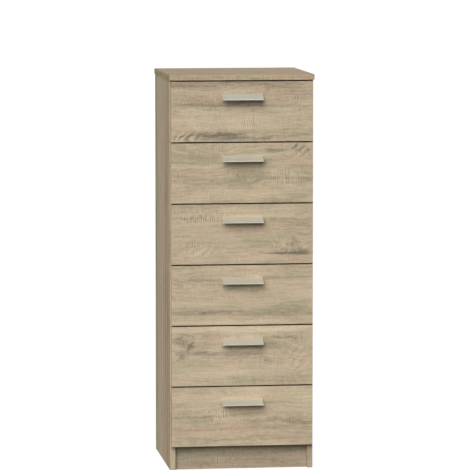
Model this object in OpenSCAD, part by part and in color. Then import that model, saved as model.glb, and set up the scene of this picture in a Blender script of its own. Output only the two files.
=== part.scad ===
// Tall, narrow chest with six drawers: laminated board cabinet on a plinth, boxes that slide on
// plastic strips, and one metal pull on each drawer. Millimetres. X is to the right, the drawers
// open towards -Y and Z is up. The origin is on the floor, at the centre of the whole outline.

/* [Cabinet] */
// Width over the two side panels
body_w = 400; // [360:10:480]
// Height from the floor to the top surface
body_h = 1100; // [1080:10:1180]
// Depth from the drawer faces to the back of the hardboard
body_d = 400; // [390:5:440]
// Thickness of the cabinet boards
board_t = 15; // [15:1:18]
// How far the top reaches past each side panel
top_lap = 2; // [0:0.5:5]
// How far the front edge of the top lies behind the drawer faces
top_set = 6; // [2:1:10]
// Radius of the front corners of the top, seen from above
top_corner_r = 3; // [1:0.5:6]
// Height of the plinth, up to the bottom board
plinth_h = 70; // [60:2:90]
// How far the plinth lies behind the front edges of the sides
plinth_set = 13; // [8:1:30]
// Height of the rail across the back
rail_h = 70; // [50:5:90]
// Thickness of the hardboard in the back and in the drawer bottoms
hardboard_t = 3; // [3:0.1:4]

/* [Drawer fronts] */
// Thickness of a drawer front
front_t = 16; // [15:1:18]
// Gap above each drawer front
front_gap = 3.5; // [2:0.5:4]
// How far a front stops short of the outside of the cabinet
front_side_set = 2.5; // [1:0.5:4]
// How far the lowest front hangs below the bottom board's underside
front_lap = 2; // [0:1:4]
// Space between the closed fronts and the front edges of the cabinet
close_gap = 1; // [0.5:0.5:2]

/* [Drawer boxes] */
// Thickness of the sides and back of a drawer box
box_t = 12; // [12:1:14]
// Length of a drawer box behind its front
box_len = 350; // [330:5:355]
// Height of the sides of a drawer box
box_h = 120; // [110:5:125]
// How far the box sits above the lower edge of its front
box_lift = 20; // [19:1:24]
// How much lower than the sides the back of the box is
box_back_drop = 10; // [0:1:20]
// Height of the hardboard bottom above the lower edge of the box
bottom_lift = 8; // [6:1:12]
// Depth of the groove that holds the hardboard bottom
bottom_groove = 5; // [4:0.5:6]

/* [Runners] */
// Gap between the cabinet wall and the drawer box
runner_gap = 3.5; // [3:0.5:5]
// How far a drawer comes out
travel = 250; // [150:10:270]
// Length of a runner strip
strip_len = 340; // [320:5:345]
// Height of a runner strip
strip_h = 9; // [8:0.5:10]
// Height of the runner groove's lower wall above the lower edge of the box
groove_lift = 58; // [50:1:60]
// Height of the groove in a drawer side
groove_h = 14; // [13.5:0.5:15]
// Depth of the groove in a drawer side
groove_deep = 5; // [4:0.5:5]

/* [Pulls] */
// Length of a pull
pull_len = 114; // [110:1:150]
// How far a pull stands out from the drawer face
pull_out = 25; // [20:1:30]
// Height of a pull from its upper edge to its lip
pull_h = 16.5; // [15:0.5:22]
// Distance from the upper edge of the front down to the pull
pull_drop = 34; // [20:0.5:60]
// Distance between the two screws of a pull
pull_screw_pitch = 96; // [64:32:96]
// Height of the lip along the lower edge of a pull
pull_lip = 2; // [1.5:0.5:5]

/* [Fittings] */
// Diameter of a cam
cam_d = 15; // [12:1:15]
// Distance from the end of a board to the centre of its cam
cam_inset = 24; // [20:1:30]
// Depth of the bolt in the other board
bolt_deep = 11; // [9:0.5:12]

/* [Hidden] */
$fn = 48;
drawer_count = 6;
cabinet_parts = ["left_side_panel", "right_side_panel", "top_panel", "bottom_panel", "plinth",
    "rear_rail", "back_panel", "left_runners", "right_runners", "runner_screws", "cabinet_cams",
    "back_nails"];
drawer_parts = ["front", "left_side", "right_side", "back", "bottom", "pull", "cams", "screws"];

oak = "#b5a58a";
oak_side = "#9c8d79";
white_board = "#dedcd6";
hardboard = "#8b6f4e";
nickel = "#beb7a5";
steel = "#b9bcc0";
plastic = "#e9e6de";

// Screws, nails and the space left around them
bore_slack = 0.05;
wood_screw_r = 1.75;
wood_screw_head_r = 3.3;
wood_screw_len = 35;
wood_screw_recess = 3.4;
strip_screw_len = 18;
bottom_screw_len = 15;
nail_r = 0.8;
nail_head_r = 2.2;
nail_len = 20;
nail_head_t = 0.8;
nail_side_count = 6;
nail_end_gap = 60;
machine_screw_r = 2;
machine_head_r = 4;
machine_head_t = 2.4;
machine_recess = 4.4;
pull_thread = 7.5;
pull_bore_slack = 0.25;

// Depths of the layers, with the origin midway from the lip of a pull to the heads of the nails
face_y = (pull_out - body_d - nail_head_t) / 2;
edge_y = face_y + front_t + close_gap;
back_y = face_y + body_d;
inner_back_y = back_y - hardboard_t;
inner_w = body_w - 2 * board_t;
panel_mid_x = (body_w - board_t) / 2;

// Heights: the fronts share the space between the top and the lower edge of the lowest one
under_top = body_h - board_t;
fronts_top = under_top - front_gap;
front_pitch = (under_top - plinth_h + front_lap) / drawer_count;
front_h = front_pitch - front_gap;
front_w = body_w - 2 * front_side_set;
rail_z = (under_top + plinth_h + board_t) / 2;

// Drawer box
box_w = inner_w - 2 * runner_gap;
box_front_y = face_y + front_t;
box_back_y = box_front_y + box_len;
slot_slack = 0.1;
edge_slack = 0.3;

// Runner strip, its tooth and the stop screw that the tooth meets when the drawer is fully out
run_slack = 0.4;
groove_end_wall = 20;
strip_end_gap = 3;
strip_side_slack = 0.5;
tooth_slack = 1;
groove_start_y = box_front_y + groove_end_wall;
strip_start_y = groove_start_y + strip_end_gap;
strip_out = runner_gap + groove_deep - strip_side_slack;
strip_lift = groove_lift + groove_h - run_slack - strip_h;
tooth_len = 6;
tooth_h = strip_lift - groove_lift - tooth_slack;
stop_r = (strip_lift - groove_lift - 2 * run_slack) / 2;
stop_y = strip_start_y + tooth_len + travel + run_slack + stop_r;
stop_len = 9;
strip_screw_steps = [0.12, 0.5, 0.88];

// Cams and bolts
cam_r = cam_d / 2;
cam_set_in = 0.3;
cam_recess = 7;
bolt_r = 2.5;
bolt_neck_r = 1.8;
bolt_neck_len = 6;
bolt_head_r = 3.2;
bolt_head_len = 3;
bolt_bore_r = 3.5;
cabinet_cam_deep = 12.5;
box_cam_deep = 10;
end_inset = 50;
box_cam_lifts = [25, 100];
box_screw_lifts = [35, 90];

// Pull section: a sloping plate that ends in an upright lip, on two round feet
plate_top = 1.6;
plate_drop = 2.1;
lip_t = 2.4;
foot_r = 4.5;
foot_drop = 8;
foot_bore_deep = 8;

function front_z(n) = fronts_top - front_h - (n - 1) * front_pitch;
function box_z(n) = front_z(n) + box_lift;
function pull_z(n) = front_z(n) + front_h - pull_drop;

// ---- Helpers ----

module both_sides() {
    children();
    mirror([1, 0, 0]) children();
}

module block(low, high) {
    translate(low) cube(high - low);
}

module cross_recess(size) {
    for (turn = [0, 90])
        rotate([0, 0, turn]) translate([-size / 2, -size / 8, -1]) cube([size, size / 4, 2]);
}

// Countersunk screw: its head is flush at z = 0 and its tip is at z = length
module sunk_screw(length, slack = 0) {
    cone_h = wood_screw_head_r - wood_screw_r;
    cylinder(h = cone_h, r1 = wood_screw_head_r + slack, r2 = wood_screw_r + slack);
    cylinder(h = length + slack, r = wood_screw_r + slack);
}

module sunk_screw_with_recess(length) {
    difference() {
        sunk_screw(length);
        cross_recess(wood_screw_recess);
    }
}

// Cam joint: the bolt stands in a board at x < 0 and reaches the cam in a board at x > 0,
// whose middle plane is z = 0 and whose cam is let in from its +Z face
module cam_bolt() {
    head_z = cam_inset + 1 - bolt_head_len;
    neck_z = head_z - bolt_neck_len;
    rotate([0, 90, 0]) {
        translate([0, 0, -bolt_deep]) cylinder(h = bolt_deep + neck_z, r = bolt_r);
        translate([0, 0, neck_z]) cylinder(h = bolt_neck_len, r = bolt_neck_r);
        translate([0, 0, head_z]) cylinder(h = bolt_head_len, r = bolt_head_r);
    }
}

module cam_disc(thick, deep) {
    translate([cam_inset, 0, thick / 2 - deep])
        difference() {
            cylinder(h = deep - cam_set_in, r = cam_r - bore_slack);
            translate([-cam_r, 0, deep - thick / 2])
                rotate([0, 90, 0]) cylinder(h = cam_r + bolt_head_len, r = bolt_bore_r);
            translate([0, 0, deep - cam_set_in]) cross_recess(cam_recess);
        }
}

module cam_joint(thick, deep) {
    cam_bolt();
    cam_disc(thick, deep);
}

module cam_joint_bores(thick, deep) {
    rotate([0, 90, 0]) {
        translate([0, 0, -bolt_deep]) cylinder(h = bolt_deep + 1, r = bolt_r + bore_slack);
        cylinder(h = cam_inset, r = bolt_bore_r);
    }
    translate([cam_inset, 0, thick / 2 - deep]) cylinder(h = deep + 1, r = cam_r);
}

// ---- Where the cabinet's fittings go: children are drawn at every left-hand place ----

module at_bottom_cams() {
    for (y = [edge_y + end_inset, inner_back_y - end_inset])
        translate([-inner_w / 2, y, plinth_h + board_t / 2]) rotate([180, 0, 0]) children();
}

module at_top_cams() {
    for (y = [edge_y + end_inset, inner_back_y - end_inset])
        translate([-panel_mid_x, y, under_top]) rotate([0, 90, 0]) children();
}

module at_plinth_cam() {
    translate([-inner_w / 2, edge_y + plinth_set + board_t / 2, plinth_h / 2])
        rotate([-90, 0, 0]) children();
}

module at_rail_cam() {
    translate([-inner_w / 2, inner_back_y - board_t / 2, rail_z]) rotate([90, 0, 0]) children();
}

module cabinet_bores() {
    both_sides() {
        at_bottom_cams() cam_joint_bores(board_t, cabinet_cam_deep);
        at_top_cams() cam_joint_bores(board_t, cabinet_cam_deep);
        at_plinth_cam() cam_joint_bores(board_t, cabinet_cam_deep);
        at_rail_cam() cam_joint_bores(board_t, cabinet_cam_deep);
    }
}

module at_strip_screws(n) {
    for (step = strip_screw_steps)
        translate([-inner_w / 2 + strip_out, strip_start_y + step * strip_len,
                   box_z(n) + strip_lift + strip_h / 2])
            rotate([0, -90, 0]) children();
}

module at_nails() {
    nail_pitch = (under_top - plinth_h - 2 * nail_end_gap) / (nail_side_count - 1);
    side_zs = [for (i = [0 : nail_side_count - 1]) plinth_h + nail_end_gap + i * nail_pitch];
    for (x = [-panel_mid_x, panel_mid_x], z = side_zs)
        translate([x, back_y, z]) rotate([90, 0, 0]) children();
    for (x = [-inner_w / 4, inner_w / 4], z = [plinth_h + board_t / 2, rail_z, under_top + board_t / 2])
        translate([x, back_y, z]) rotate([90, 0, 0]) children();
}

module nail(slack = 0) {
    cylinder(h = nail_len, r = nail_r + slack);
    translate([0, 0, -nail_head_t]) cylinder(h = nail_head_t, r = nail_head_r);
}

// ---- Cabinet boards ----

module side_panel() {
    color(oak_side) difference() {
        block([-body_w / 2, edge_y, 0], [-inner_w / 2, inner_back_y, under_top]);
        at_bottom_cams() cam_joint_bores(board_t, cabinet_cam_deep);
        at_top_cams() cam_joint_bores(board_t, cabinet_cam_deep);
        at_plinth_cam() cam_joint_bores(board_t, cabinet_cam_deep);
        at_rail_cam() cam_joint_bores(board_t, cabinet_cam_deep);
        for (n = [1 : drawer_count]) at_strip_screws(n) sunk_screw(strip_screw_len, bore_slack);
        at_nails() nail(bore_slack);
    }
}

module left_side_panel() {
    side_panel();
}

module right_side_panel() {
    mirror([1, 0, 0]) side_panel();
}

module top_outline() {
    half = body_w / 2 + top_lap;
    front = face_y + top_set;
    difference() {
        translate([-half, front]) square([2 * half, inner_back_y - front]);
        for (side = [-1, 1])
            translate([side * half, front]) square(2 * top_corner_r, center = true);
    }
    for (side = [-1, 1])
        translate([side * (half - top_corner_r), front + top_corner_r]) circle(r = top_corner_r);
}

module top_panel() {
    color(oak) difference() {
        translate([0, 0, under_top]) linear_extrude(board_t) top_outline();
        cabinet_bores();
        at_nails() nail(bore_slack);
    }
}

module bottom_panel() {
    color(oak_side) difference() {
        block([-inner_w / 2, edge_y, plinth_h], [inner_w / 2, inner_back_y, plinth_h + board_t]);
        both_sides() at_bottom_cams() cam_joint_bores(board_t, cabinet_cam_deep);
        at_nails() nail(bore_slack);
    }
}

module plinth() {
    front = edge_y + plinth_set;
    color(oak_side) difference() {
        block([-inner_w / 2, front, 0], [inner_w / 2, front + board_t, plinth_h]);
        both_sides() at_plinth_cam() cam_joint_bores(board_t, cabinet_cam_deep);
    }
}

module rear_rail() {
    color(oak_side) difference() {
        block([-inner_w / 2, inner_back_y - board_t, rail_z - rail_h / 2],
              [inner_w / 2, inner_back_y, rail_z + rail_h / 2]);
        both_sides() at_rail_cam() cam_joint_bores(board_t, cabinet_cam_deep);
        at_nails() nail(bore_slack);
    }
}

module back_panel() {
    edge = 2;
    color(hardboard) difference() {
        block([edge - body_w / 2, inner_back_y, plinth_h + edge],
              [body_w / 2 - edge, back_y, body_h - 2 * edge]);
        at_nails() nail(bore_slack);
    }
}

// ---- Cabinet fittings ----

module runner_strip(n) {
    x = -inner_w / 2;
    z = box_z(n) + strip_lift;
    difference() {
        union() {
            block([x, strip_start_y, z], [x + strip_out, strip_start_y + strip_len, z + strip_h]);
            block([x, strip_start_y, z - tooth_h], [x + strip_out, strip_start_y + tooth_len, z]);
        }
        at_strip_screws(n) sunk_screw(strip_screw_len, bore_slack);
    }
}

module left_runners() {
    color(plastic) for (n = [1 : drawer_count]) runner_strip(n);
}

module right_runners() {
    mirror([1, 0, 0]) left_runners();
}

module runner_screws() {
    color(steel) both_sides() for (n = [1 : drawer_count])
        at_strip_screws(n) sunk_screw_with_recess(strip_screw_len);
}

module cabinet_cams() {
    color(steel) both_sides() {
        at_bottom_cams() cam_joint(board_t, cabinet_cam_deep);
        at_top_cams() cam_joint(board_t, cabinet_cam_deep);
        at_plinth_cam() cam_joint(board_t, cabinet_cam_deep);
        at_rail_cam() cam_joint(board_t, cabinet_cam_deep);
    }
}

module back_nails() {
    color(steel) at_nails() nail();
}

// ---- Drawers: n counts from the top, and left-hand places are mirrored for the right ----

module at_box_cams(n) {
    for (lift = box_cam_lifts)
        translate([(box_t - box_w) / 2, box_front_y, box_z(n) + lift])
            rotate([-90, 0, 0]) rotate([0, -90, 0]) children();
}

module at_box_screws(n) {
    for (lift = box_screw_lifts)
        translate([-box_w / 2, box_back_y - box_t / 2, box_z(n) + lift])
            rotate([0, 90, 0]) children();
}

module at_bottom_screws(n) {
    for (x = [-box_w / 3, 0, box_w / 3])
        translate([x, box_back_y - box_t / 2, box_z(n) + bottom_lift]) children();
}

module at_pull_screws(n) {
    for (side = [-1, 1])
        translate([side * pull_screw_pitch / 2, box_front_y, pull_z(n) - foot_drop])
            rotate([90, 0, 0]) children();
}

module stop_screw(n, slack = 0) {
    z = box_z(n) + groove_lift + run_slack + stop_r;
    floor_x = groove_deep - box_w / 2;
    translate([floor_x, stop_y, z]) rotate([0, 90, 0]) {
        cylinder(h = stop_len - groove_deep, r = stop_r / 2 + slack);
        translate([0, 0, run_slack - groove_deep]) cylinder(h = groove_deep - run_slack, r = stop_r);
    }
}

module bottom_slot(n) {
    half = box_w / 2 - box_t + bottom_groove;
    block([-half, box_front_y - bottom_groove, box_z(n) + bottom_lift - slot_slack],
          [half, box_back_y + 1, box_z(n) + bottom_lift + hardboard_t + slot_slack]);
}

module drawer_front(n) {
    color(oak) difference() {
        block([-front_w / 2, face_y, front_z(n)], [front_w / 2, box_front_y, front_z(n) + front_h]);
        bottom_slot(n);
        both_sides() at_box_cams(n) cam_joint_bores(box_t, box_cam_deep);
        at_pull_screws(n) translate([0, 0, -1])
            cylinder(h = front_t + 2, r = machine_screw_r + pull_bore_slack);
    }
}

module drawer_side(n) {
    x = -box_w / 2;
    groove_z = box_z(n) + groove_lift;
    color(white_board) difference() {
        block([x, box_front_y, box_z(n)], [x + box_t, box_back_y, box_z(n) + box_h]);
        block([x - 1, groove_start_y, groove_z], [x + groove_deep, box_back_y + 1, groove_z + groove_h]);
        bottom_slot(n);
        at_box_cams(n) cam_joint_bores(box_t, box_cam_deep);
        at_box_screws(n) sunk_screw(wood_screw_len, bore_slack);
        stop_screw(n, bore_slack);
    }
}

module drawer_left_side(n) {
    drawer_side(n);
}

module drawer_right_side(n) {
    mirror([1, 0, 0]) drawer_side(n);
}

module drawer_back(n) {
    half = box_w / 2 - box_t;
    color(white_board) difference() {
        block([-half, box_back_y - box_t, box_z(n) + bottom_lift + hardboard_t],
              [half, box_back_y, box_z(n) + box_h - box_back_drop]);
        both_sides() at_box_screws(n) sunk_screw(wood_screw_len, bore_slack);
        at_bottom_screws(n) sunk_screw(bottom_screw_len, bore_slack);
    }
}

module drawer_bottom(n) {
    half = box_w / 2 - box_t + bottom_groove - edge_slack;
    color(white_board) difference() {
        block([-half, box_front_y - bottom_groove + edge_slack, box_z(n) + bottom_lift],
              [half, box_back_y, box_z(n) + bottom_lift + hardboard_t]);
        at_bottom_screws(n) sunk_screw(bottom_screw_len, bore_slack);
    }
}

// Section of the pull: x is the distance from the drawer face and y is up from its upper edge
module pull_section() {
    polygon([[0, 0], [plate_top, 0], [pull_out, pull_lip - pull_h], [pull_out, -pull_h],
             [pull_out - lip_t, -pull_h], [pull_out - lip_t, pull_lip - pull_h - plate_top],
             [0, -plate_drop]]);
}

module pull_foot_limit() {
    polygon([[0, 0], [plate_top, 0], [pull_out, pull_lip - pull_h], [0, pull_lip - pull_h]]);
}

// Stands a section drawn in x and y upright against the drawer face, centred on the drawer
module along_pull(length) {
    rotate([90, 0, -90]) translate([0, 0, -length / 2]) linear_extrude(length) children();
}

module drawer_pull(n) {
    color(nickel) translate([0, face_y, pull_z(n)]) difference() {
        union() {
            along_pull(pull_len) pull_section();
            intersection() {
                along_pull(pull_len) pull_foot_limit();
                for (side = [-1, 1])
                    translate([side * pull_screw_pitch / 2, 0, -foot_drop])
                        rotate([90, 0, 0]) cylinder(h = pull_out, r = foot_r);
            }
        }
        for (side = [-1, 1])
            translate([side * pull_screw_pitch / 2, 0, -foot_drop]) rotate([90, 0, 0])
                translate([0, 0, -1]) cylinder(h = foot_bore_deep + 1, r = machine_screw_r + bore_slack);
    }
}

module drawer_cams(n) {
    color(steel) both_sides() at_box_cams(n) cam_joint(box_t, box_cam_deep);
}

module machine_screw() {
    cylinder(h = front_t + pull_thread, r = machine_screw_r);
    difference() {
        translate([0, 0, -machine_head_t]) cylinder(h = machine_head_t, r = machine_head_r);
        translate([0, 0, -machine_head_t]) cross_recess(machine_recess);
    }
}

module drawer_screws(n) {
    color(steel) {
        at_pull_screws(n) machine_screw();
        at_bottom_screws(n) sunk_screw_with_recess(bottom_screw_len);
        both_sides() {
            at_box_screws(n) sunk_screw_with_recess(wood_screw_len);
            stop_screw(n);
        }
    }
}

left_side_panel();
right_side_panel();
top_panel();
bottom_panel();
plinth();
rear_rail();
back_panel();
left_runners();
right_runners();
runner_screws();
cabinet_cams();
back_nails();
for (n = [1 : drawer_count]) {
    drawer_front(n);
    drawer_left_side(n);
    drawer_right_side(n);
    drawer_back(n);
    drawer_bottom(n);
    drawer_pull(n);
    drawer_cams(n);
    drawer_screws(n);
}
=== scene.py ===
"""Looks of the tall chest of drawers: laminated boards, edge bands, box boards, pulls and fittings."""
import math

import bmesh
import bpy
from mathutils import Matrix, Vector


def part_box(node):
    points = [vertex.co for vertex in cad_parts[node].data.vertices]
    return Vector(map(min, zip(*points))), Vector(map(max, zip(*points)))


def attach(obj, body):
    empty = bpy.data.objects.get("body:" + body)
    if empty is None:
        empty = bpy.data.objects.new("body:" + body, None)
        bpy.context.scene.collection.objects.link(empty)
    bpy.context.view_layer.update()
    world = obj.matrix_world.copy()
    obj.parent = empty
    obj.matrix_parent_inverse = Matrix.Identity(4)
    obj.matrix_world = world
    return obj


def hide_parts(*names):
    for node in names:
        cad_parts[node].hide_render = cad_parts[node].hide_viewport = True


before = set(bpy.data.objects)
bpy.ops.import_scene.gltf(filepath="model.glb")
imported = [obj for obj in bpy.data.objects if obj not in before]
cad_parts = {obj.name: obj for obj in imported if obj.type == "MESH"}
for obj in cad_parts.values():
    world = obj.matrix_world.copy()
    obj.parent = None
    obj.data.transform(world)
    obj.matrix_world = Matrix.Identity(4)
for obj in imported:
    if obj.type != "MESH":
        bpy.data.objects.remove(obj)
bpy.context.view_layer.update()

MM = 0.001
DRAWERS = range(1, 7)
CABINET = "cabinet"
X, Y, Z = Vector((1, 0, 0)), Vector((0, 1, 0)), Vector((0, 0, 1))


# ---------------------------------------------------------------- camera, light and floor

# Place in metres, turn to the right and tilt down in degrees, lens and sensor in millimetres
CAMERA_PLACE = (-1.185, -9.267, 1.563)
CAMERA_TURN = 7.31
CAMERA_TILT = 5.65
CAMERA_LENS = 255.0
CAMERA_SENSOR = 36.0

# Lamps: the azimuth and elevation they shine from, and their spread, in degrees. A wide key from the
# front left, a fill from the left, and a rear light for the back and the right side, which doesn't
# show in glossy surfaces
KEY_FROM = (-20, 34)
KEY_STRENGTH = 3.38
KEY_SPREAD = 50
LEFT_FROM = (-80, 20)
LEFT_STRENGTH = 1.0
REAR_FROM = (150, 18)
REAR_STRENGTH = 1.3
SOFT_SPREAD = 60
SKY_STRENGTH = 0.10
SKY_IN_GLOSS = 0.5
FLOOR_HALF = 70.0
FAR_CLIP = 300.0


def aim(piece, azimuth, elevation):
    """Turns a lamp so that it shines from that side: azimuth 0 is in front, positive to the right."""
    a, e = math.radians(azimuth), math.radians(elevation)
    towards = Vector((math.sin(a) * math.cos(e), -math.cos(a) * math.cos(e), math.sin(e)))
    piece.rotation_euler = towards.to_track_quat("Z", "Y").to_euler()


def make_camera():
    data = bpy.data.cameras.new("camera")
    data.lens = CAMERA_LENS
    data.sensor_width = CAMERA_SENSOR
    data.clip_end = FAR_CLIP
    camera = bpy.data.objects.new("camera", data)
    bpy.context.scene.collection.objects.link(camera)
    camera.location = CAMERA_PLACE
    camera.rotation_euler = (math.radians(90 - CAMERA_TILT), 0, math.radians(-CAMERA_TURN))
    bpy.context.scene.camera = camera


def make_lamp(name, origin, strength, spread, gloss=True):
    data = bpy.data.lights.new(name, "SUN")
    data.energy = strength
    data.angle = math.radians(spread)
    lamp = bpy.data.objects.new(name, data)
    bpy.context.scene.collection.objects.link(lamp)
    lamp.visible_glossy = gloss
    aim(lamp, *origin)


# ---------------------------------------------------------------- making materials

def linear(code):
    """A colour written as sRGB hex, as the linear RGBA that shaders take."""
    parts = [int(code[i:i + 2], 16) / 255 for i in (1, 3, 5)]
    return [c / 12.92 if c <= 0.04045 else ((c + 0.055) / 1.055) ** 2.4 for c in parts] + [1.0]


def add(tree, kind, inputs=None, **settings):
    """Adds one node: settings are its own properties, inputs its sockets by name or number."""
    made = tree.nodes.new(kind)
    for name, value in settings.items():
        setattr(made, name, value)
    for name, value in (inputs or {}).items():
        if isinstance(value, bpy.types.Node):
            value = value.outputs[0]
        if isinstance(value, bpy.types.NodeSocket):
            tree.links.new(value, made.inputs[name])
        else:
            made.inputs[name].default_value = value
    return made


def set_ramp(ramp, stops):
    """Gives a colour ramp its stops, a list of (position, hex colour)."""
    band = ramp.color_ramp
    while len(band.elements) > 1:
        band.elements.remove(band.elements[-1])
    band.elements[0].position, band.elements[0].color = stops[0][0], linear(stops[0][1])
    for position, code in stops[1:]:
        band.elements.new(position).color = linear(code)


def new_material(name):
    """A material with an empty node tree but for its output. Returns it and its tree."""
    made = bpy.data.materials.new(name)
    made.use_nodes = True
    made.node_tree.nodes.clear()
    return made, made.node_tree


def streaks(tree, place, along, across, **inputs):
    """Noise drawn out into streaks about that many millimetres long and wide."""
    scaled = add(tree, "ShaderNodeVectorMath", {0: place, 1: (1 / along, 1 / across, 1.0)},
                 operation="MULTIPLY")
    return add(tree, "ShaderNodeTexNoise", {"Vector": scaled, "Scale": 1.0, **inputs})


# Sawn oak laminate: decor paper printed with rough-sawn oak, pressed with melamine on particle
# board. The eye gets flat-sawn figure, short dark fibres and pores, pale marks of the saw across the
# grain, slanting ray flecks, and a matt, lightly embossed surface.
FIGURE_INPUTS = ("Lift", "Shade", "Saw", "Rays", "Cast")
# All in mm: how far the figure wanders and ripples, the spacing of saw marks and ray flecks, and how
# far they waver
WANDER = 34.0
RIPPLE = 7.0
SAW_PITCH = 6.0
SAW_WAVER = 3.0 * SAW_PITCH
RAY_PITCH = 23.0
RAY_WAVER = 1.6 * RAY_PITCH


def make_sawn_oak():
    """Node group. Place is in mm, x along the grain. Lift slides the figure down by so many mm,
    Shade lightens it, Saw and Rays bring out saw marks and ray flecks, Cast turns it pinkish."""
    tree = bpy.data.node_groups.new("sawn_oak", "ShaderNodeTree")
    face = tree.interface
    face.new_socket("Place", in_out="INPUT", socket_type="NodeSocketVector")
    for name in FIGURE_INPUTS:
        face.new_socket(name, in_out="INPUT", socket_type="NodeSocketFloat")
    face.new_socket("Color", in_out="OUTPUT", socket_type="NodeSocketColor")
    face.new_socket("Height", in_out="OUTPUT", socket_type="NodeSocketFloat")
    given = add(tree, "NodeGroupInput").outputs
    place = given["Place"]

    # The figure wanders slowly and ripples a little, on top of the bends that the marks add
    wander = streaks(tree, place, 260, 80, Detail=1.0)
    ripple = streaks(tree, place, 34, 16, Detail=2.0)
    lift = add(tree, "ShaderNodeMath", {0: wander, 1: WANDER, 2: given["Lift"]},
               operation="MULTIPLY_ADD")
    lift = add(tree, "ShaderNodeMath", {0: ripple, 1: RIPPLE, 2: lift}, operation="MULTIPLY_ADD")
    lift = add(tree, "ShaderNodeCombineXYZ", {"Y": lift})
    bent = add(tree, "ShaderNodeVectorMath", {0: place, 1: lift}, operation="ADD")

    bands = streaks(tree, bent, 300, 19, Detail=2.0)
    rings = streaks(tree, bent, 110, 5.5, Detail=2.0, Roughness=0.6)
    dashes = streaks(tree, bent, 21, 2.3, Detail=2.0, Roughness=0.6)
    fibres = streaks(tree, bent, 9, 0.7, Detail=2.0)
    clouds = streaks(tree, place, 90, 34, Detail=2.0)
    pores = streaks(tree, bent, 8, 0.8, Detail=1.0)
    pores = add(tree, "ShaderNodeMapRange", {"Value": pores, "From Min": 0.58, "From Max": 0.70})

    # Saw marks: broken lines across the grain that waver, stronger in patches
    patches = streaks(tree, place, 36, 26, Detail=1.0)
    patches = add(tree, "ShaderNodeMapRange", {"Value": patches, "From Min": 0.45, "From Max": 0.70,
                                               "To Min": 0.22, "To Max": 1.0})
    amount = add(tree, "ShaderNodeMath", {0: patches, 1: given["Saw"]}, operation="ADD")
    waver = streaks(tree, place, 40, 22, Detail=1.0)
    broken = streaks(tree, place, 3.2, 20, Detail=2.0)
    x = add(tree, "ShaderNodeSeparateXYZ", {"Vector": place})
    phase = add(tree, "ShaderNodeMath", {0: waver, 1: SAW_WAVER, 2: x.outputs["X"]},
                operation="MULTIPLY_ADD")
    phase = add(tree, "ShaderNodeMath", {0: phase, 1: 2 * math.pi / SAW_PITCH}, operation="MULTIPLY")
    saw = add(tree, "ShaderNodeMath", {0: phase}, operation="SINE")
    saw = add(tree, "ShaderNodeMath", {0: saw, 1: 0.14, 2: broken}, operation="MULTIPLY_ADD")
    saw = add(tree, "ShaderNodeMath", {0: saw, 1: 0.5}, operation="SUBTRACT")
    saw = add(tree, "ShaderNodeMath", {0: saw, 1: amount}, operation="MULTIPLY")

    # Ray flecks: pale slanting dashes
    slant = add(tree, "ShaderNodeVectorMath", {0: place, 1: (1.0, -0.75, 0.0)}, operation="DOT_PRODUCT")
    rays = add(tree, "ShaderNodeMath", {0: waver, 1: RAY_WAVER, 2: slant.outputs["Value"]},
               operation="MULTIPLY_ADD")
    rays = add(tree, "ShaderNodeMath", {0: rays, 1: 2 * math.pi / RAY_PITCH}, operation="MULTIPLY")
    rays = add(tree, "ShaderNodeMath", {0: rays}, operation="SINE")
    rays = add(tree, "ShaderNodeMath", {0: rays, 1: given["Rays"]}, operation="MULTIPLY")

    # How much each part adds to the tone, dark 0 to pale 1
    parts = [(bands, 0.52), (rings, 0.50), (dashes, 0.66), (fibres, 0.30), (clouds, 0.36),
             (pores, -0.12), (saw, 0.58), (rays, 0.10)]
    tone = add(tree, "ShaderNodeMath", {0: given["Shade"], 1: 0.68}, operation="SUBTRACT")
    for part, weight in parts:
        tone = add(tree, "ShaderNodeMath", {0: part, 1: weight, 2: tone}, operation="MULTIPLY_ADD")
    ramp = add(tree, "ShaderNodeValToRGB", {"Fac": tone})
    set_ramp(ramp, [(0.0, "#7b7262"), (0.25, "#9f927d"), (0.5, "#b9a98f"), (0.75, "#c8b89d"),
                    (1.0, "#d6c8af")])

    hues = streaks(tree, place, 120, 26, Detail=2.0)
    hues = add(tree, "ShaderNodeMath", {0: hues, 1: given["Cast"]}, operation="ADD")
    cast = add(tree, "ShaderNodeValToRGB", {"Fac": hues})
    set_ramp(cast, [(0.2, "#f3faf0"), (0.5, "#fffefd"), (0.8, "#fff4f1")])
    color = add(tree, "ShaderNodeMix", {"Factor": 1.0, 6: ramp, 7: cast}, data_type="RGBA",
                blend_type="MULTIPLY")

    height = add(tree, "ShaderNodeMath", {0: fibres, 1: 0.5}, operation="MULTIPLY")
    height = add(tree, "ShaderNodeMath", {0: pores, 1: -0.7, 2: height}, operation="MULTIPLY_ADD")
    height = add(tree, "ShaderNodeMath", {0: saw, 1: 1.2, 2: height}, operation="MULTIPLY_ADD")
    add(tree, "NodeGroupOutput", {"Color": color.outputs[2], "Height": height})
    return tree


sawn_oak = make_sawn_oak()

# How far the rim of a mark strays along and across the grain, in mm
RAG_REACH = (70, 14, 0)


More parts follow.
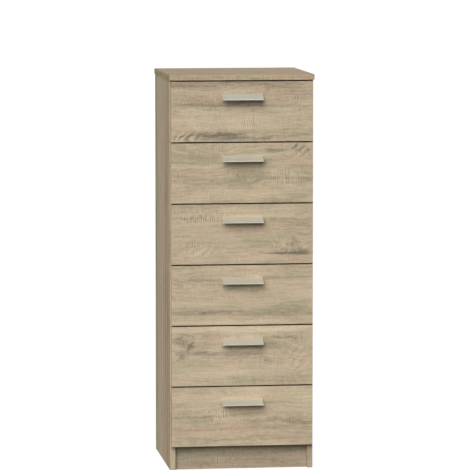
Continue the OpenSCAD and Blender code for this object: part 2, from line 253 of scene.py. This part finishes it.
def make_laminate(name, along, across, centre, marks=(), tint="#ffffff", seed=0.0):
    """Sawn oak on a flat face. along and across are directions in the frame; centre, in metres, is
    where the marks are measured from. A mark is an oval of changed figure: its place and half sizes
    in mm, then how much it adds to each of the figure's inputs, in their order. What a mark leaves
    out adds nothing."""
    made, tree = new_material(name)
    spot = add(tree, "ShaderNodeTexCoord").outputs["Object"]
    spot = add(tree, "ShaderNodeVectorMath", {0: spot, 1: tuple(centre)}, operation="SUBTRACT")
    x = add(tree, "ShaderNodeVectorMath", {0: spot, 1: tuple(along / MM)}, operation="DOT_PRODUCT")
    y = add(tree, "ShaderNodeVectorMath", {0: spot, 1: tuple(across / MM)}, operation="DOT_PRODUCT")
    flat = add(tree, "ShaderNodeCombineXYZ", {"X": x.outputs["Value"], "Y": y.outputs["Value"]})
    place = add(tree, "ShaderNodeVectorMath", {0: flat, 1: (0, 0, seed)}, operation="ADD")

    # Ragged outlines for the marks
    rag = streaks(tree, place, 30, 5, Detail=2.0)
    rag = add(tree, "ShaderNodeVectorMath", {0: rag.outputs["Color"], 1: (0.5, 0.5, 0.5)},
              operation="SUBTRACT")
    rag = add(tree, "ShaderNodeVectorMath", {0: rag, 1: RAG_REACH, 2: flat}, operation="MULTIPLY_ADD")

    # Lift bends the figure, so its ovals are smooth; the others have flat tops and ragged rims
    totals = [0.0] * len(FIGURE_INPUTS)
    for mark_x, mark_y, half_x, half_y, *strengths in marks:
        for i, strength in enumerate(strengths):
            if not strength:
                continue
            smooth = FIGURE_INPUTS[i] == "Lift"
            oval = add(tree, "ShaderNodeVectorMath",
                       {0: flat if smooth else rag, 1: (1 / half_x, 1 / half_y, 0),
                        2: (-mark_x / half_x, -mark_y / half_y, 0)}, operation="MULTIPLY_ADD")
            away = add(tree, "ShaderNodeVectorMath", {0: oval, 1: oval}, operation="DOT_PRODUCT")
            away = away.outputs["Value"]
            if not smooth:
                away = add(tree, "ShaderNodeMath", {0: away, 1: away}, operation="MULTIPLY")
            near = add(tree, "ShaderNodeMath", {0: math.exp(-1), 1: away}, operation="POWER")
            totals[i] = add(tree, "ShaderNodeMath", {0: near, 1: strength, 2: totals[i]},
                            operation="MULTIPLY_ADD")
    oak = add(tree, "ShaderNodeGroup", node_tree=sawn_oak)
    for socket, total in zip(("Place",) + FIGURE_INPUTS, [place] + totals):
        if isinstance(total, bpy.types.Node):
            tree.links.new(total.outputs[0], oak.inputs[socket])
        else:
            oak.inputs[socket].default_value = total
    color = add(tree, "ShaderNodeMix", {"Factor": 1.0, 6: oak.outputs["Color"], 7: linear(tint)},
                data_type="RGBA", blend_type="MULTIPLY")
    bump = add(tree, "ShaderNodeBump",
               {"Height": oak.outputs["Height"], "Strength": 0.35, "Distance": 0.0004})
    shader = add(tree, "ShaderNodeBsdfPrincipled",
                 {"Base Color": color.outputs[2], "Roughness": 0.6,
                  "Specular IOR Level": 0.15, "Normal": bump})
    add(tree, "ShaderNodeOutputMaterial", {"Surface": shader})
    return made


# Box boards: particle board wrapped in white paper foil with a satin sheen, faintly mottled where
# the chips, about 2.4 mm, print through, over slow waves of 70 mm
def make_white_foil():
    made, tree = new_material("white_foil")
    spot = add(tree, "ShaderNodeTexCoord").outputs["Object"]
    chips = add(tree, "ShaderNodeTexNoise", {"Vector": spot, "Scale": 420.0, "Detail": 2.0})
    waves = add(tree, "ShaderNodeTexNoise", {"Vector": spot, "Scale": 14.0, "Detail": 2.0})
    tone = add(tree, "ShaderNodeMix", {"Factor": 0.7, 2: chips, 3: waves}, data_type="FLOAT")
    ramp = add(tree, "ShaderNodeValToRGB", {"Fac": tone})
    set_ramp(ramp, [(0.3, "#d3d0c8"), (0.7, "#e3e1da")])
    bump = add(tree, "ShaderNodeBump", {"Height": chips, "Strength": 0.15, "Distance": 0.0002})
    shader = add(tree, "ShaderNodeBsdfPrincipled",
                 {"Base Color": ramp, "Roughness": 0.42, "Normal": bump})
    add(tree, "ShaderNodeOutputMaterial", {"Surface": shader})
    return made


# Hardboard: wet-pressed wood fibre. The smooth side is lacquered white, the other is bare and brown.
# Clumps of fibre are about 1.4 mm, cloudy blotches 17 mm
def make_hardboard(name, dark, light, rough):
    made, tree = new_material(name)
    spot = add(tree, "ShaderNodeTexCoord").outputs["Object"]
    fluff = add(tree, "ShaderNodeTexNoise",
                {"Vector": spot, "Scale": 700.0, "Detail": 4.0, "Roughness": 0.7})
    blotch = add(tree, "ShaderNodeTexNoise",
                 {"Vector": spot, "Scale": 60.0, "Detail": 6.0, "Roughness": 0.75})
    tone = add(tree, "ShaderNodeMix", {"Factor": 0.55, 2: fluff, 3: blotch}, data_type="FLOAT")
    ramp = add(tree, "ShaderNodeValToRGB", {"Fac": tone})
    set_ramp(ramp, [(0.32, dark), (0.68, light)])
    bump = add(tree, "ShaderNodeBump", {"Height": fluff, "Strength": 0.25, "Distance": 0.0002})
    shader = add(tree, "ShaderNodeBsdfPrincipled",
                 {"Base Color": ramp, "Roughness": rough, "Normal": bump})
    add(tree, "ShaderNodeOutputMaterial", {"Surface": shader})
    return made


# Raw particle board, where an edge has no band: pale and dark chips of about 2 mm in 1 mm dust
def make_chipboard():
    made, tree = new_material("raw_particle_board")
    spot = add(tree, "ShaderNodeTexCoord").outputs["Object"]
    chips = add(tree, "ShaderNodeTexVoronoi", {"Vector": spot, "Scale": 480.0, "Randomness": 1.0})
    dust = add(tree, "ShaderNodeTexNoise", {"Vector": spot, "Scale": 900.0, "Detail": 3.0})
    tone = add(tree, "ShaderNodeMix", {"Factor": 0.45, 2: chips.outputs["Color"], 3: dust},
               data_type="FLOAT")
    ramp = add(tree, "ShaderNodeValToRGB", {"Fac": tone})
    set_ramp(ramp, [(0.2, "#8c6f4a"), (0.5, "#b6986c"), (0.8, "#d2b98f")])
    bump = add(tree, "ShaderNodeBump", {"Height": tone, "Strength": 0.6, "Distance": 0.0005})
    shader = add(tree, "ShaderNodeBsdfPrincipled",
                 {"Base Color": ramp, "Roughness": 0.9, "Normal": bump})
    add(tree, "ShaderNodeOutputMaterial", {"Surface": shader})
    return made


# Pulls: die-cast zinc, satin nickel plated, warm grey and brushed along its length. The brush lines
# are 33 mm long and 0.4 mm wide, coarser than real ones so that they show close up
def make_satin_nickel():
    made, tree = new_material("satin_nickel")
    spot = add(tree, "ShaderNodeTexCoord").outputs["Object"]
    lines = add(tree, "ShaderNodeVectorMath", {0: spot, 1: (30.0, 2600.0, 2600.0)}, operation="MULTIPLY")
    brush = add(tree, "ShaderNodeTexNoise", {"Vector": lines, "Scale": 1.0, "Detail": 2.0})
    rough = add(tree, "ShaderNodeMapRange", {"Value": brush, "To Min": 0.30, "To Max": 0.38})
    ramp = add(tree, "ShaderNodeValToRGB", {"Fac": brush})
    set_ramp(ramp, [(0.3, "#e2e2d7"), (0.7, "#ebece2")])
    bump = add(tree, "ShaderNodeBump", {"Height": brush, "Strength": 0.08, "Distance": 0.0001})
    shader = add(tree, "ShaderNodeBsdfPrincipled",
                 {"Base Color": ramp, "Metallic": 0.82, "Roughness": rough, "Normal": bump})
    add(tree, "ShaderNodeOutputMaterial", {"Surface": shader})
    return made


# Screws, cams and nails: steel or zinc, bright zinc plated, in blotches of about 4 mm
def make_zinc_plate():
    made, tree = new_material("zinc_plated_steel")
    spot = add(tree, "ShaderNodeTexCoord").outputs["Object"]
    blotch = add(tree, "ShaderNodeTexNoise", {"Vector": spot, "Scale": 260.0, "Detail": 3.0})
    rough = add(tree, "ShaderNodeMapRange", {"Value": blotch, "To Min": 0.28, "To Max": 0.46})
    ramp = add(tree, "ShaderNodeValToRGB", {"Fac": blotch})
    set_ramp(ramp, [(0.3, "#b9bcbf"), (0.7, "#d0d2d3")])
    shader = add(tree, "ShaderNodeBsdfPrincipled",
                 {"Base Color": ramp, "Metallic": 1.0, "Roughness": rough})
    add(tree, "ShaderNodeOutputMaterial", {"Surface": shader})
    return made


# Runner strips: extruded polypropylene, off-white, with a soft sheen and faint drawing lines, 0.7 mm
# wide and 125 mm long
def make_runner_plastic():
    made, tree = new_material("runner_polypropylene")
    spot = add(tree, "ShaderNodeTexCoord").outputs["Object"]
    lines = add(tree, "ShaderNodeVectorMath", {0: spot, 1: (1500.0, 8.0, 1500.0)}, operation="MULTIPLY")
    drawn = add(tree, "ShaderNodeTexNoise", {"Vector": lines, "Scale": 1.0, "Detail": 1.0})
    ramp = add(tree, "ShaderNodeValToRGB", {"Fac": drawn})
    set_ramp(ramp, [(0.3, "#dedbd2"), (0.7, "#e9e6de")])
    bump = add(tree, "ShaderNodeBump", {"Height": drawn, "Strength": 0.2, "Distance": 0.0001})
    shader = add(tree, "ShaderNodeBsdfPrincipled",
                 {"Base Color": ramp, "Roughness": 0.38, "Normal": bump, "IOR": 1.49})
    add(tree, "ShaderNodeOutputMaterial", {"Surface": shader})
    return made


# ---------------------------------------------------------------- modelling

NEAR = 0.01 * MM
FLAT_ANGLE = math.radians(0.5)
HARD_ANGLE = math.radians(25)
SMOOTH_ANGLE = math.radians(50)
ROUNDING_STEPS = 3
PULL_ROUNDING = 0.55 * MM


def start_copy(name, node):
    """A copy of a CAD node's mesh, its loose triangles merged into whole faces, in edit mode. It
    keeps none of the node's own marks, so that the frame takes it for a new piece."""
    bpy.ops.object.select_all(action="DESELECT")
    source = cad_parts[node]
    piece = source.copy()
    piece.data = source.data.copy()
    piece.name = piece.data.name = name
    for key in list(piece.keys()):
        del piece[key]
    piece.parent = None
    bpy.context.scene.collection.objects.link(piece)
    piece.data.materials.clear()
    bpy.context.view_layer.objects.active = piece
    piece.select_set(True)
    bpy.ops.object.mode_set(mode="EDIT")
    bpy.ops.mesh.select_all(action="SELECT")
    bpy.ops.mesh.customdata_custom_splitnormals_clear()
    bpy.ops.mesh.remove_doubles(threshold=NEAR)
    bpy.ops.mesh.dissolve_limited(angle_limit=FLAT_ANGLE)
    bpy.ops.mesh.select_all(action="DESELECT")
    return piece


def select_edges(piece, wanted):
    """In edit mode, selects the edges for which wanted(edge) is true, and no others."""
    bpy.ops.mesh.select_mode(type="EDGE")
    mesh = bmesh.from_edit_mesh(piece.data)
    for edge in mesh.edges:
        edge.select_set(wanted(edge))
    bmesh.update_edit_mesh(piece.data)


def finish_copy(piece, body, node):
    """Leaves edit mode, shades the piece and hands it to the frame in its node's place."""
    bpy.ops.object.mode_set(mode="OBJECT")
    bpy.ops.object.shade_smooth_by_angle(angle=SMOOTH_ANGLE)
    weighted = piece.modifiers.new("weighted", "WEIGHTED_NORMAL")
    weighted.weight = 100
    weighted.keep_sharp = True
    bpy.ops.object.modifier_apply(modifier=weighted.name)
    piece.select_set(False)
    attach(piece, body)
    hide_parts(node)


def make_board(node, body, ease, finishes, pick):
    """A board whose outer edges are eased by so many mm. pick(normal) gives the number of the finish
    of a face that points that way."""
    piece = start_copy(node + ".board", node)
    low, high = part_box(node)

    def walls(corner):
        return {(axis, side) for axis in range(3) for side, at in enumerate((low, high))
                if abs(corner.co[axis] - at[axis]) < NEAR}

    select_edges(piece, lambda edge: len(walls(edge.verts[0]) & walls(edge.verts[1])) == 2)
    bpy.ops.mesh.bevel(offset=ease * MM, segments=ROUNDING_STEPS, affect="EDGES", clamp_overlap=True)
    for finish in finishes:
        piece.data.materials.append(finish)
    bpy.ops.object.mode_set(mode="OBJECT")
    for face in piece.data.polygons:
        face.material_index = pick(face.normal)
    bpy.ops.object.mode_set(mode="EDIT")
    finish_copy(piece, body, node)


# ---------------------------------------------------------------- camera, lamps and plain finishes

make_camera()
make_lamp("key", KEY_FROM, KEY_STRENGTH, KEY_SPREAD)
make_lamp("left_light", LEFT_FROM, LEFT_STRENGTH, SOFT_SPREAD)
make_lamp("rear_light", REAR_FROM, REAR_STRENGTH, SOFT_SPREAD, gloss=False)

white_foil = make_white_foil()
white_hardboard = make_hardboard("white_lacquered_hardboard", "#cfccc3", "#dddad2", 0.4)
brown_hardboard = make_hardboard("bare_hardboard", "#725740", "#957857", 0.75)
chipboard = make_chipboard()
satin_nickel = make_satin_nickel()
zinc_plate = make_zinc_plate()
runner_plastic = make_runner_plastic()

# Marks of each front's figure, measured from its centre, as make_laminate says
FRONT_MARKS = {
    # a grey streak low on the left that breaks into slashes, and a darker upper edge
    1: [
        (-60, 56, 300, 30, 0, -0.06, 0, 0, 0.10), (20, 77, 300, 15, 0, -0.18, 0.10, 0, 0.10),
        (-50, 18, 130, 6, 4, -0.13), (120, 16, 120, 5, 3, -0.12),
        (-84, -69, 100, 14, 0, -0.40, 0, 0, 0.02), (-60, -68, 70, 7, 0, -0.10),
        (-152, -70, 40, 13, 0, 0.06, 0, 3.00), (-84, -66, 26, 9, 6, 0.08), (-45, -62, 60, 2, 0, -0.12),
        (100, -66, 80, 16, -12, -0.05), (40, -74, 50, 4, 0, -0.14), (165, -66, 40, 3, 0, -0.20),
        (28, -26, 30, 20, 0, 0, 1.50), (-100, -26, 60, 20, 0, 0, 0.70), (140, 36, 26, 10, 0, 0, 1.00),
        (0, -28, 300, 26, 0, 0.07)
    ],
    # a swirl in the middle, flecks and a grey streak upper right, saw marks below them
    2: [
        (150, 66, 12, 20, -20, -0.14, 0.30, 2.00), (172, 62, 10, 20, -18, -0.12, 0.30, 2.00),
        (130, 60, 12, 14, 14, 0.02), (92, 62, 36, 6, 0, -0.24, 0, 0, -0.20),
        (-4, 4, 44, 15, -15, -0.05), (-4, -26, 44, 15, 14, -0.05),
        (-4, -11, 30, 9, 0, -0.05, 0, 0, -0.10), (32, -14, 26, 4, 0, -0.05),
        (-120, -26, 90, 7, 0, -0.14), (-70, -18, 70, 5, 0, -0.08), (115, -10, 60, 27, 0, 0.08, 1.20),
        (60, -78, 140, 5, 0, -0.12, 0, 0, -0.10), (-110, 58, 100, 24, 22, -0.03),
        (-40, -55, 160, 16, 0, 0.07)
    ],
    # saw marks upper left, and a peak of figure over a dark line lower right
    3: [
        (-120, 42, 72, 9, 0, -0.16, 2.60), (-90, 60, 60, 12, 0, 0.07, 1.00),
        (141, -30, 12, 26, -46, -0.10), (118, -40, 14, 14, 12, 0.10, 0, 0.60),
        (166, -40, 14, 14, 12, 0.10, 0, 0.60), (141, -16, 4, 10, 0, -0.20), (132, -30, 5, 8, 0, -0.24),
        (150, -30, 5, 8, 0, -0.24), (121, -42, 8, 6, 0, -0.26), (161, -42, 8, 6, 0, -0.26),
        (130, -54, 76, 5, 0, -0.42), (160, -50, 30, 8, 0, -0.20), (105, -52, 34, 7, 0, -0.18),
        (128, 40, 90, 4, 0, -0.14), (-112, -48, 50, 14, -14, 0.07, 0, 1.20),
        (-135, -28, 26, 16, 0, 0, 1.00), (94, -26, 26, 14, 0, 0, 1.30), (-14, -58, 22, 12, 0, 0, 1.00),
        (160, 0, 60, 30, 0, -0.08)
    ],
    # long streaks, and a broad grey band lower right
    4: [
        (-120, 42, 90, 4, 7, -0.18), (-120, 30, 70, 4, -5, -0.10), (120, 48, 90, 4, 5, -0.16),
        (125, -46, 100, 18, 0, -0.13, 0, 0, -0.12), (150, -36, 60, 4, 3, -0.10),
        (-130, -52, 80, 4, 4, -0.10), (-60, -46, 80, 3, -4, -0.16), (40, -52, 60, 7, 0, -0.08),
        (-70, 72, 28, 12, 0, 0, 0.80), (20, -4, 200, 28, 6, 0.07), (0, -76, 300, 6, 0, 0.15)
    ],
    # a pale strip along the top, a knot upper left and slanting figure at the right
    5: [
        (-176, 44, 16, 16, -20, -0.34), (-150, 26, 18, 20, 22, -0.26, 0, 1.60),
        (-128, 30, 40, 26, 0, -0.12), (-122, 50, 18, 9, 12, 0.16), (-166, 8, 14, 14, -16, -0.16),
        (-105, 6, 30, 6, 0, -0.14), (178, 46, 30, 10, 0, 0.06), (168, 36, 40, 16, 18, -0.05),
        (160, 10, 40, 20, 16, -0.03, 0, 0.70), (120, 50, 60, 3, 4, -0.20), (60, 22, 60, 8, 0, -0.10),
        (0, 8, 120, 6, 0, -0.16, 0, 0, 0.15), (75, -14, 16, 13, 0, -0.08, 0, 0, -0.20),
        (165, -30, 34, 26, 18, 0.03, 0, 1.00), (0, 74, 300, 11, 0, 0.22), (-60, -50, 200, 26, 0, 0.10),
        (28, -68, 26, 12, 0, 0, 0.90)
    ],
    # quiet, with thin streaks across the middle and saw marks between them
    6: [
        (-150, 0, 70, 3, 5, -0.18), (-126, -8, 42, 8, -4, -0.08, 0, 0, 0.10),
        (60, -11, 90, 4, 4, -0.22), (110, -4, 60, 4, -3, -0.12),
        (165, -18, 50, 7, -4, -0.20, 0, 0, 0.10), (112, 40, 70, 10, 0, -0.06, 0, 0, -0.10),
        (-58, 2, 38, 21, 0, 0.06, 1.50), (0, -44, 260, 24, 0, -0.05, 0, 0, 0.15),
        (0, 58, 300, 24, 0, 0.10)
    ],
}


def make_front(n):
    node = f"drawer_{n}_front"
    low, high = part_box(node)
    centre = (low + high) / 2
    face = make_laminate(f"oak_front_{n}", X, Z, centre, FRONT_MARKS[n], seed=3.7 * n)
    upright_band = make_laminate(f"oak_front_band_{n}", Z, Y, centre, seed=60 + n, tint="#d9d6d3")
    # The top and bottom edges of each front are tinted much darker: painted shade, standing in for the
    # shade in the gaps between the fronts
    level_band_painted_shade = make_laminate(f"oak_front_edge_painted_shade_{n}", X, Y, centre, seed=70 + n, tint="#b4aca1")

    def pick_front(normal):
        if abs(normal.y) > 0.3:
            return 0
        return 1 if abs(normal.x) > 0.5 else 2

    make_board(node, f"drawer_{n}", 0.8, [face, upright_band, level_band_painted_shade], pick_front)


# The side boards shade from grey at the back to brown at the front, in long upright streaks
SIDE_MARKS = [
    (0, 182, 900, 22, 0, -0.20, 0, 0, -0.25), (0, 120, 900, 40, 0, 0, 0, 0, -0.10),
    (0, -100, 900, 80, 0, -0.09, 0, 0, 0.25), (150, 160, 500, 7, 3, -0.20),
    (-250, 150, 320, 6, 0, -0.14), (-80, 138, 600, 8, 0, 0.14), (60, 112, 420, 7, 4, -0.17),
    (-320, 92, 260, 9, 0, 0.15), (200, 80, 360, 10, 0, 0.17), (-60, 58, 520, 7, -5, -0.16),
    (120, 30, 400, 9, 0, 0.13), (-260, 22, 300, 8, 4, 0.14), (0, 0, 640, 6, 0, -0.18),
    (260, -24, 300, 9, 0, 0.12), (-140, -34, 380, 8, 4, 0.10, 0, 0, 0.10), (60, -58, 560, 7, 0, -0.20),
    (-200, -82, 380, 9, 0, 0.11), (240, -92, 320, 8, -4, 0.08), (0, -108, 800, 6, 0, -0.22),
    (-60, -134, 500, 8, 0, 0.08), (100, -158, 700, 9, 0, -0.16, 0, 0, 0.10)
]
# A darker foot on the right, which is painted shade near the floor, saw marks along the top, and saw
# marks and pale patches on the plinth
FOOT_PAINTED_SHADE_MARKS = [(-515, 192, 60, 30, 0, -0.13)]
TOP_MARKS = [
    (-90, 0, 110, 400, 0, -0.02, 0.90, 0, 0.12), (20, 0, 60, 400, 0, 0.02, 0, 0, -0.10),
    (120, 0, 60, 400, 0, 0.04, 0.80, 0, 0.10)
]
PLINTH_MARKS = [
    (-50, 2, 46, 30, 0, 0.07, 1.10, 0, -0.10), (-150, 6, 40, 30, 0, 0.02, 0.90, 0, -0.10),
    (70, 14, 30, 16, 0, 0.06, 1.00), (140, 12, 40, 12, 0, 0.03, 0.60),
    (60, -14, 110, 8, 0, -0.10, 0, 0, 0.10)
]
oak_upright = make_laminate("oak_side_upright", Z, Y, (0, 0, 0.55), SIDE_MARKS, seed=21.0)
oak_upright_band = make_laminate("oak_side_band", Z, X, (0, 0, 0.55), FOOT_PAINTED_SHADE_MARKS, seed=33.0)
# The top's oak is tinted darker than the rest: painted shade that dims the top face and its sheen. The
# bottom panel takes the same material
oak_across = make_laminate("oak_top_across_painted_shade", X, Y, (0, 0, 1.1), TOP_MARKS, seed=41.0, tint="#e3dfda")
oak_across_band = make_laminate("oak_top_band", X, Z, (0, 0, 1.1), TOP_MARKS, seed=47.0, tint="#f6f4f2")
oak_end_band = make_laminate("oak_top_end_band", Y, Z, (0, 0, 1.1), seed=49.0, tint="#ddd9cf")
# The plinth's oak is tinted darker: painted shade under the overhanging drawer fronts. The rear rail
# takes the same material
oak_plinth = make_laminate("oak_plinth_painted_shade", X, Z, (0, 0, 0.035), PLINTH_MARKS, seed=52.0,
                           tint="#e3e2e4")


# A pick function sends each face of a board to its finish. The eased edges slant, so they go with the
# face or the band beside them, by how far they turn
def pick_side(normal):
    if abs(normal.x) > 0.9:
        return 0
    return 1 if normal.y < -0.3 else 2


def pick_top(normal):
    if abs(normal.z) > 0.9:
        return 0
    if abs(normal.x) > 0.7:
        return 3
    return 2 if normal.y > 0.3 else 1


def pick_bottom(normal):
    return 0 if abs(normal.z) > 0.9 else 1


def pick_only(normal):
    return 0


for side in ("left", "right"):
    make_board(f"{side}_side_panel", CABINET, 0.7,
               [oak_upright, oak_upright_band, chipboard], pick_side)
make_board("top_panel", CABINET, 1.0,
           [oak_across, oak_across_band, chipboard, oak_end_band], pick_top)
make_board("bottom_panel", CABINET, 0.5, [oak_across, oak_across_band], pick_bottom)
make_board("plinth", CABINET, 0.5, [oak_plinth], pick_only)
make_board("rear_rail", CABINET, 0.5, [oak_plinth], pick_only)
make_board("back_panel", CABINET, 0.3, [white_hardboard, brown_hardboard],
           lambda normal: 0 if normal.y < -0.9 else 1)

for n in DRAWERS:
    make_front(n)
    for part in ("left_side", "right_side", "back"):
        make_board(f"drawer_{n}_{part}", f"drawer_{n}", 0.5, [white_foil], pick_only)
    make_board(f"drawer_{n}_bottom", f"drawer_{n}", 0.2,
               [white_hardboard, brown_hardboard], lambda normal: 0 if normal.z > 0.9 else 1)


def make_pull(n):
    """The cast pull: the hard edges that run along it are rounded, and so are those of its two ends.
    The rims of its feet and bores, and the back edges that touch the front, stay sharp."""
    node = f"drawer_{n}_pull"
    piece = start_copy(node + ".casting", node)
    low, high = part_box(node)
    long_way = 50 * MM
    off_front = 0.1 * MM

    def is_rounded(edge):
        a, b = edge.verts[0].co, edge.verts[1].co
        hard = len(edge.link_faces) == 2 and edge.calc_face_angle(0) > HARD_ANGLE
        lengthwise = abs(a.x - b.x) > long_way
        at_end = min(abs(a.x - low.x), abs(a.x - high.x)) < NEAR and min(a.y, b.y) < high.y - off_front
        return hard and (lengthwise or at_end)

    select_edges(piece, is_rounded)
    bpy.ops.mesh.bevel(offset=PULL_ROUNDING, segments=ROUNDING_STEPS, affect="EDGES", clamp_overlap=True)
    piece.data.materials.append(satin_nickel)
    finish_copy(piece, f"drawer_{n}", node)


for n in DRAWERS:
    make_pull(n)

# CAD nodes whose shape is already right take their material only
PLAIN_NODES = {
    "left_runners": runner_plastic, "right_runners": runner_plastic, "runner_screws": zinc_plate,
    "cabinet_cams": zinc_plate, "back_nails": zinc_plate,
}
for n in DRAWERS:
    PLAIN_NODES[f"drawer_{n}_cams"] = zinc_plate
    PLAIN_NODES[f"drawer_{n}_screws"] = zinc_plate
for node, finish in PLAIN_NODES.items():
    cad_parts[node].data.materials.clear()
    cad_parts[node].data.materials.append(finish)


# ---------------------------------------------------------------- stage

def make_floor():
    """A pale floor. It looks almost white, and throws back as much light as a grey one."""
    bpy.ops.object.select_all(action="DESELECT")
    bpy.ops.mesh.primitive_plane_add(size=2 * FLOOR_HALF, location=(0, 0, 0))
    floor = bpy.context.active_object
    floor.name = "floor"
    made, tree = new_material("pale_floor")
    paint = add(tree, "ShaderNodeBsdfDiffuse", {"Color": linear("#707070")})
    shown = add(tree, "ShaderNodeBsdfDiffuse", {"Color": linear("#5a5a5a")})
    glow = add(tree, "ShaderNodeEmission", {"Color": linear("#ffffff"), "Strength": 0.95})
    shown = add(tree, "ShaderNodeAddShader", {0: shown, 1: glow})
    seen = add(tree, "ShaderNodeLightPath").outputs["Is Camera Ray"]
    shader = add(tree, "ShaderNodeMixShader", {0: seen, 1: paint, 2: shown})
    add(tree, "ShaderNodeOutputMaterial", {"Surface": shader})
    floor.data.materials.append(made)


def make_sky():
    """Even light from all round: plain white to the camera, half of that in glossy surfaces, and dim
    on everything else."""
    world = bpy.data.worlds.new("studio")
    bpy.context.scene.world = world
    world.use_nodes = True
    world.node_tree.nodes.clear()
    tree = world.node_tree
    seen = add(tree, "ShaderNodeLightPath")
    strength = add(tree, "ShaderNodeMapRange", {"Value": seen.outputs["Is Glossy Ray"],
                                                "To Min": SKY_STRENGTH, "To Max": SKY_IN_GLOSS})
    strength = add(tree, "ShaderNodeMath", {0: strength, 1: seen.outputs["Is Camera Ray"]},
                   operation="MAXIMUM")
    sky = add(tree, "ShaderNodeBackground", {"Color": linear("#ffffff"), "Strength": strength})
    add(tree, "ShaderNodeOutputWorld", {"Surface": sky})


make_floor()
make_sky()
bpy.context.scene.view_settings.view_transform = "Standard"
